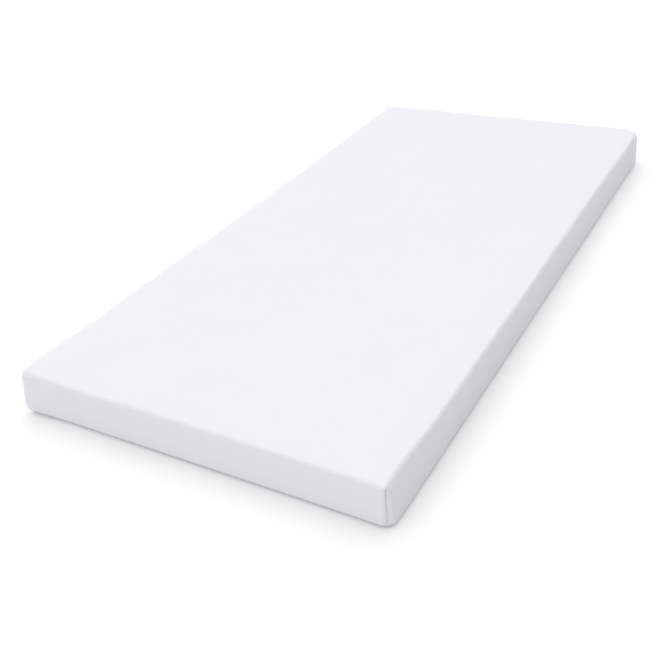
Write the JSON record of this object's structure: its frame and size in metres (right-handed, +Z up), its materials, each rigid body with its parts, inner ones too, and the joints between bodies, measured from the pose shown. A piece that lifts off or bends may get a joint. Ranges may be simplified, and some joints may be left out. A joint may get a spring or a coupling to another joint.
{
  "type": "crib mattress",
  "caption": "Thin rectangular crib mattress in a smooth white close-fitting cover, with soft rounded edges, a slight crown and a sewn seam down each corner.",
  "frame": {"origin": "middle of the underside, on the floor", "axes": "+Z up through the thickness, +Y along the length, +X across the width; the end at -Y is the near end in the picture"},
  "size_m": [0.59, 1.2, 0.075],
  "materials": {
    "cover": "fine smooth white knit, matt with a faint soft sheen"
  },
  "bodies": {
    "root": {"mattress": "cover"}
  },
  "joints": []
}
